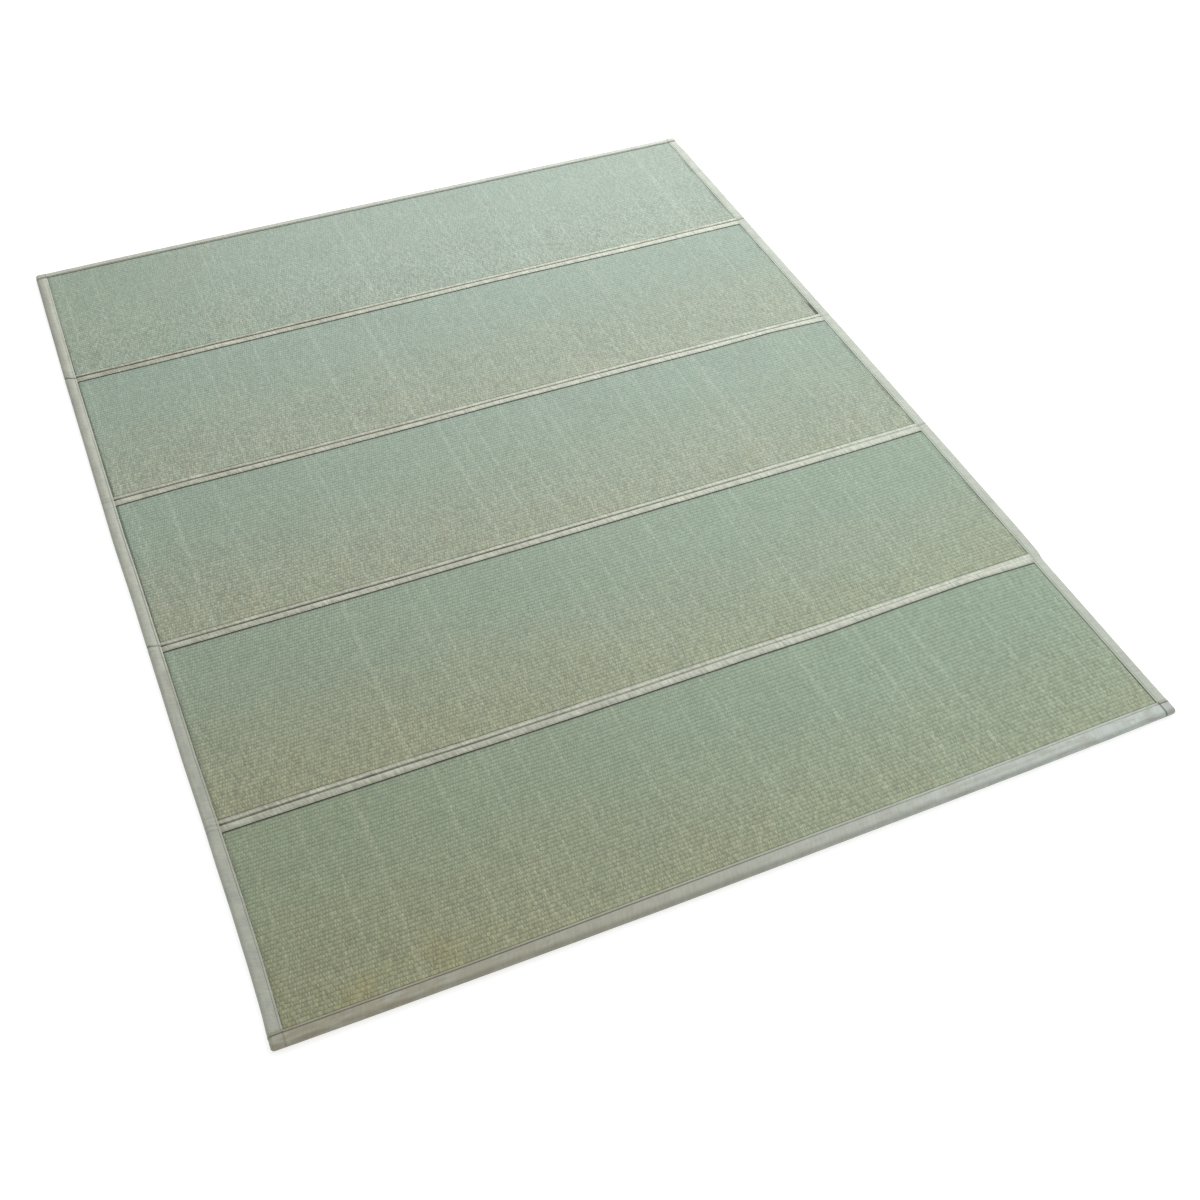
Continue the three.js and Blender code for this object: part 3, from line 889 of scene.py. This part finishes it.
def side_crease(y, inward, side):
    """How deep the binding is creased. A crease slants from the outer to the inner edge."""
    depth = np.zeros_like(y)
    for joint, outer, inner, deep, behind, before in SIDE_CREASES[side]:
        line = joint_y(joint) + outer + (inner - outer) * np.clip(inward / SIDE_REACH, 0, 1)
        away = y - line
        width = np.where(away > 0, behind, before)
        depth += deep * np.clip(1 - np.abs(away) / width, 0, 1) ** 1.5
    return depth


def room_below(x, y, inward):
    """How far the cloth of a side binding can sink before it meets the tape or the pad."""
    height = np.full_like(y, RUSH_TOP)
    for joint in range(1, PANEL_COUNT):
        away = y - joint_y(joint)
        tape = np.where(inward > HALF_WIDTH - TAPE_END - 1, TAPE_TOP + 0.3, UNDER_TAPE)
        covered = (away > -NEAR_REACH - 1) & (away < FAR_REACH + 1)
        height = np.where(covered, tape - joint_dip(x, away, joint), height)
    top = MIDDLE + (height - MIDDLE) * pressed_share(inward, SIDE_PRESS)
    cloth = np.where(inward > SIDE_REACH - HEM - 1, 2 * CLOTH, CLOTH) + 0.1
    return np.clip(2 * MIDDLE - cloth - top, 0, None)


def on_side_binding(along, inward, z, side):
    """Bends places of a flat strip to the side of the mat, with its creases and waves."""
    sign, seed = (-1, 80) if side == "left" else (1, 81)
    y = sign * along
    share = pressed_share(HALF_LENGTH - np.abs(y), END_PRESS["front"])
    share = np.where(y > 0, pressed_share(HALF_LENGTH - y, END_PRESS["back"]), share)
    crease = side_crease(y, inward, side)
    up = np.clip(z - MIDDLE, 0, None) / MIDDLE
    fold = np.clip(MIDDLE - inward, 0, None)
    sunk = np.minimum(crease, room_below(sign * (HALF_WIDTH - inward), y, inward))
    open_run = np.clip((HALF_LENGTH - 30 - np.abs(y)) / 30, 0, 1)
    wave = 0.35 * soft_noise(seed, y, inward * 3, 70, 60)
    wave += 0.2 * soft_noise(seed + 4, y, inward * 6, 17, 40)
    wave = np.maximum(wave, 0) * np.sin(math.pi * np.clip(inward / SIDE_SEAM, 0, 1))
    seam = 0.3 * np.clip(1 - np.abs(inward - SIDE_SEAM) / 0.8, 0, 1)
    z = z - sunk * up + (wave * open_run - seam) * up
    uneven = 0.4 * (soft_noise(seed + 8, y, y, 120, 500) + 1) * open_run * (inward < MIDDLE)
    pinch = 0.4 * crease * fold / MIDDLE
    bulge = BULGE[side] * np.clip((y - BULGE_START) / 60, 0, 1) * open_run
    moved = inward + fold * (1 - np.maximum(share, 0.8)) + pinch + (uneven - bulge) * fold / MIDDLE
    return np.stack([sign * (HALF_WIDTH - moved), y, MIDDLE + (z - MIDDLE) * share], axis=1)


def side_binding(side, sign):
    half = HALF_LENGTH - END_PRESS["front"][0][0]
    dense = [(sign * (joint_y(joint) + 2), 24) for joint in range(1, PANEL_COUNT)]
    dense += [(end * (HALF_LENGTH - 17), 14) for end in (-1, 1)]
    stations = uneven_columns(half, dense)
    piece = binding_strip(f"bound_side_{side}", stations, SIDE_SEAM, SIDE_REACH)
    along, inward, z = places(piece).T
    y = sign * along
    # Painted shade: along the binding's outer rounding, in its creases, and along its seam's trough, more
    # on the left. On the left binding also over its outer half, and all over towards the front.
    crease = side_crease(y, inward, side) / 2.2
    seam = np.clip(1 - np.abs(inward - SIDE_SEAM) / 1.2, 0, 1)
    marks = 0.12 * np.clip(1 - inward / 4, 0, 1)
    if side == "left":
        seam = seam * np.interp(y, [-1000, 100, 500], [0.75, 0.7, 0.2])
        outer = np.clip((17 - inward) / 8, 0, 1) * np.interp(y, [-100, 300, 900], [0.25, 0.3, 0.4])
        marks = marks + np.where(y > -250, outer, 0.25)
    else:
        seam = seam * 0.35
    marks = marks + np.clip(0.75 * crease, 0, 0.85) * (z > MIDDLE)
    give_marks(piece, np.maximum(marks, seam * (z > MIDDLE)))
    put(piece, as_it_lies(on_side_binding(along, inward, z, side)))
    thicken(piece)
    return piece


SIDE_TWILL = twill_cloth(
    "side_twill", (0.475, 0.490, 0.415, 1), (0.42, 0.455, 0.385, 1), (0.40, 0.43, 0.38, 1), 0.55, 0.3
)
# The side thread is painted darker than its cloth: partly the thread's colour, partly a painted shadow of
# the seam's trough.
SIDE_THREAD = sewing_thread("side_thread", (0.26, 0.26, 0.20, 1))
for side, sign in (("left", -1), ("right", 1)):
    binding = side_binding(side, sign)
    sewn(binding, SIDE_TWILL)
    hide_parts(f"side_binding_{side}")
    stitches = stitch_row(
        f"side_stitches_{side}",
        SIDE_STITCH_MARGINS[0] - HALF_LENGTH,
        HALF_LENGTH - SIDE_STITCH_MARGINS[1],
        lambda along, aside, up: on_side_binding(along, SIDE_SEAM + aside, up + TAPE_TOP, side),
    )
    sewn(stitches, SIDE_THREAD)
    resting = [f"woven_panel_{number}" for number in range(1, PANEL_COUNT + 1)]


# End bindings. They are cut and folded as the side bindings are, and go on last: they are sewn through
# over the ends of the side bindings, so the corners stand a little higher, and their own ends are turned
# in. Both are sewn with the same thread, painted dark partly as a shadow in the seam's trough.
END_REACH = {"back": 19.2, "front": 25}
END_SEAM = {"back": 17.3, "front": 21.4}
CORNER_RISE = 0.6
CORNER_SLOPE = 3
CORNER_RADIUS = 5.5
END_STITCH_MARGINS = (5, 3)
CORNER_STITCH_X = 768
CORNER_STITCH_RUN = (8, 25)


def on_end_binding(along, inward, z, side):
    """Bends places of a flat strip to the back or the front of the mat, over the corners."""
    sign = 1 if side == "front" else -1
    x = sign * along
    in_from_end = HALF_WIDTH - np.abs(x)
    turn = np.arcsin(np.clip(1 - in_from_end / MIDDLE, 0, 0.966))
    over_side = np.clip((SIDE_REACH + CORNER_SLOPE - in_from_end) / CORNER_SLOPE, 0, 1)
    rise = CORNER_RISE * z / (2 * MIDDLE) * eased(over_side)
    up = np.clip(z - MIDDLE, 0, None) / MIDDLE
    open_run = np.clip((in_from_end - 30) / 30, 0, 1)
    wave = 0.3 * soft_noise(90 + sign, x, inward * 3, 80, 60)
    wave += 0.2 * soft_noise(94 + sign, x, inward * 6, 19, 40)
    wave = np.maximum(wave, 0) * np.sin(math.pi * np.clip(inward / END_SEAM[side], 0, 1))
    seam = 0.35 * np.clip(1 - np.abs(inward - END_SEAM[side]) / 0.9, 0, 1)
    ditch = 0.3 * np.clip(1 - np.abs(in_from_end - SIDE_REACH + 1) / 1.6, 0, 1)
    z = z + (wave * open_run - seam - ditch) * up
    z = MIDDLE + (z - MIDDLE) * np.cos(turn) + rise
    short = np.clip(1 - in_from_end / CORNER_RADIUS, 0, 1)
    rounded = CORNER_RADIUS * (1 - np.sqrt(1 - short**2)) * np.clip(1 - inward / 12, 0, 1)
    return np.stack([x, -sign * (HALF_LENGTH - inward - rounded), z], axis=1)


def end_binding(side):
    half = HALF_WIDTH - 0.24
    dense = [(end * (HALF_WIDTH - 14), 13.6) for end in (-1, 1)]
    stations = uneven_columns(half, dense)
    piece = binding_strip(f"bound_end_{side}", stations, END_SEAM[side], END_REACH[side])
    along, inward, z = places(piece).T
    x = along if side == "front" else -along
    in_from_end = HALF_WIDTH - np.abs(x)
    on_top = z > MIDDLE
    # Painted shade: at the back, a dark painted shadow along the seam, where the binding's inner edge
    # stands above the rush, and shade in the ditch over each side binding's end. At the front, painted
    # shade along the seam and on the front rounding, both more to the left, in the ditches, more at the
    # right, and over the right corner.
    seam = np.clip(1.5 - np.abs(inward - END_SEAM[side]) / 1.1, 0, 1)
    ditch = np.clip(1.4 - np.abs(in_from_end - SIDE_REACH + 1) / 1.6, 0, 1)
    if side == "back":
        marks = 0.95 * np.clip(1.6 - np.abs(inward - END_SEAM[side]), 0, 1) + 0.4 * ditch
    else:
        left = np.clip(0.55 - x / 700, 0, 1)
        corner = np.clip((x - HALF_WIDTH + SIDE_REACH) / 2, 0, 1)
        marks = seam * (0.15 + 0.75 * left + 0.6 * corner) + ditch * (0.3 + 0.5 * (x > 0))
        marks = marks + 0.16 * corner
        rounding = np.clip(1 - inward / 5, 0, 1) * np.clip(1.2 - z / 12, 0, 1)
        marks = marks + 0.5 * rounding * (0.4 + 0.6 * left)
    give_marks(piece, marks * np.where(on_top, 1, 0.6))
    put(piece, as_it_lies(on_end_binding(along, inward, z, side)))
    thicken(piece)
    return piece


END_TWILLS = {
    "back": twill_cloth(
        "back_twill",
        (0.400, 0.408, 0.335, 1),
        (0.470, 0.510, 0.445, 1),
        (0.43, 0.45, 0.39, 1),
        0.5,
        0.4,
    ),
    "front": twill_cloth(
        "front_twill",
        (0.290, 0.272, 0.195, 1),
        (0.445, 0.497, 0.455, 1),
        (0.355, 0.360, 0.30, 1),
        0.5,
        0.3,
    ),
}
# The end thread is painted very dark: partly the thread's colour, partly a painted shadow of the seam's
# trough.
END_THREAD = sewing_thread("end_thread", (0.12, 0.12, 0.085, 1))
for side in ("back", "front"):
    binding = end_binding(side)
    sewn(binding, END_TWILLS[side])
    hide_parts(f"end_binding_{side}")
    stitches = stitch_row(
        f"end_stitches_{side}",
        END_STITCH_MARGINS[0] - HALF_WIDTH,
        HALF_WIDTH - END_STITCH_MARGINS[1],
        lambda along, aside, up: on_end_binding(
            along, END_SEAM[side] + aside, up + TAPE_TOP, side
        ),
    )
    sewn(stitches, END_THREAD)
    for corner in ("left", "right") if side == "front" else ():
        at = CORNER_STITCH_X if corner == "right" else -CORNER_STITCH_X
        row = stitch_row(
            f"corner_stitches_{corner}",
            *CORNER_STITCH_RUN,
            lambda inward, aside, up: on_end_binding(at + aside, inward, up + TAPE_TOP, "front"),
        )
        sewn(row, END_THREAD)
    resting = ["woven_panel_1" if side == "back" else "woven_panel_5"]
    resting += ["bound_side_left", "bound_side_right"]


# The studio: a plain pale floor that glows a little, a large soft light behind the mat's right
# side, a smaller one beside it, and even light all round.
bpy.ops.object.select_all(action="DESELECT")
bpy.ops.mesh.primitive_plane_add(size=60, location=(0, 0, 0))
floor = bpy.context.object
floor.name = "floor"
floor_material, _, floor_shader = new_material("pale_floor")
floor_shader.inputs["Base Color"].default_value = (0.58, 0.58, 0.58, 1)
floor_shader.inputs["Emission Color"].default_value = (1, 1, 1, 1)
floor_shader.inputs["Emission Strength"].default_value = 0.62
floor_shader.inputs["Roughness"].default_value = 0.9
floor.data.materials.append(floor_material)

world = bpy.data.worlds.new("studio")
bpy.context.scene.world = world
world.use_nodes = True
world.node_tree.nodes["Background"].inputs["Color"].default_value = (1, 1, 1, 1)
world.node_tree.nodes["Background"].inputs["Strength"].default_value = 0.66

LAMP_AIM = Vector((0.2, 0.3, 0))
for name, place, size, power in (
    ("large_lamp", (2.0, 2.6, 3.0), 3.0, 142),
    ("small_lamp", (2.5, -0.2, 1.8), 1.6, 14),
):
    lamp_data = bpy.data.lights.new(name, "AREA")
    lamp_data.size = size
    lamp_data.energy = power
    lamp = bpy.data.objects.new(name, lamp_data)
    bpy.context.scene.collection.objects.link(lamp)
    lamp.location = place
    aim = LAMP_AIM - lamp.location
    lamp.rotation_euler = aim.to_track_quat("-Z", "Y").to_euler()

camera_data = bpy.data.cameras.new("camera")
camera_data.sensor_width = 36
camera_data.lens = 44.43
camera = bpy.data.objects.new("camera", camera_data)
bpy.context.scene.collection.objects.link(camera)
right = Vector((0.91538, -0.40201, 0.02161)).normalized()
forward = Vector((0.28679, 0.61345, -0.73582)).normalized()
upward = right.cross(forward)
turned = Matrix((right, upward, -forward)).transposed().to_4x4()
turned.translation = (-0.78363, -2.02578, 1.97763)
camera.matrix_world = turned
bpy.context.scene.camera = camera
bpy.context.scene.view_settings.view_transform = "Standard"
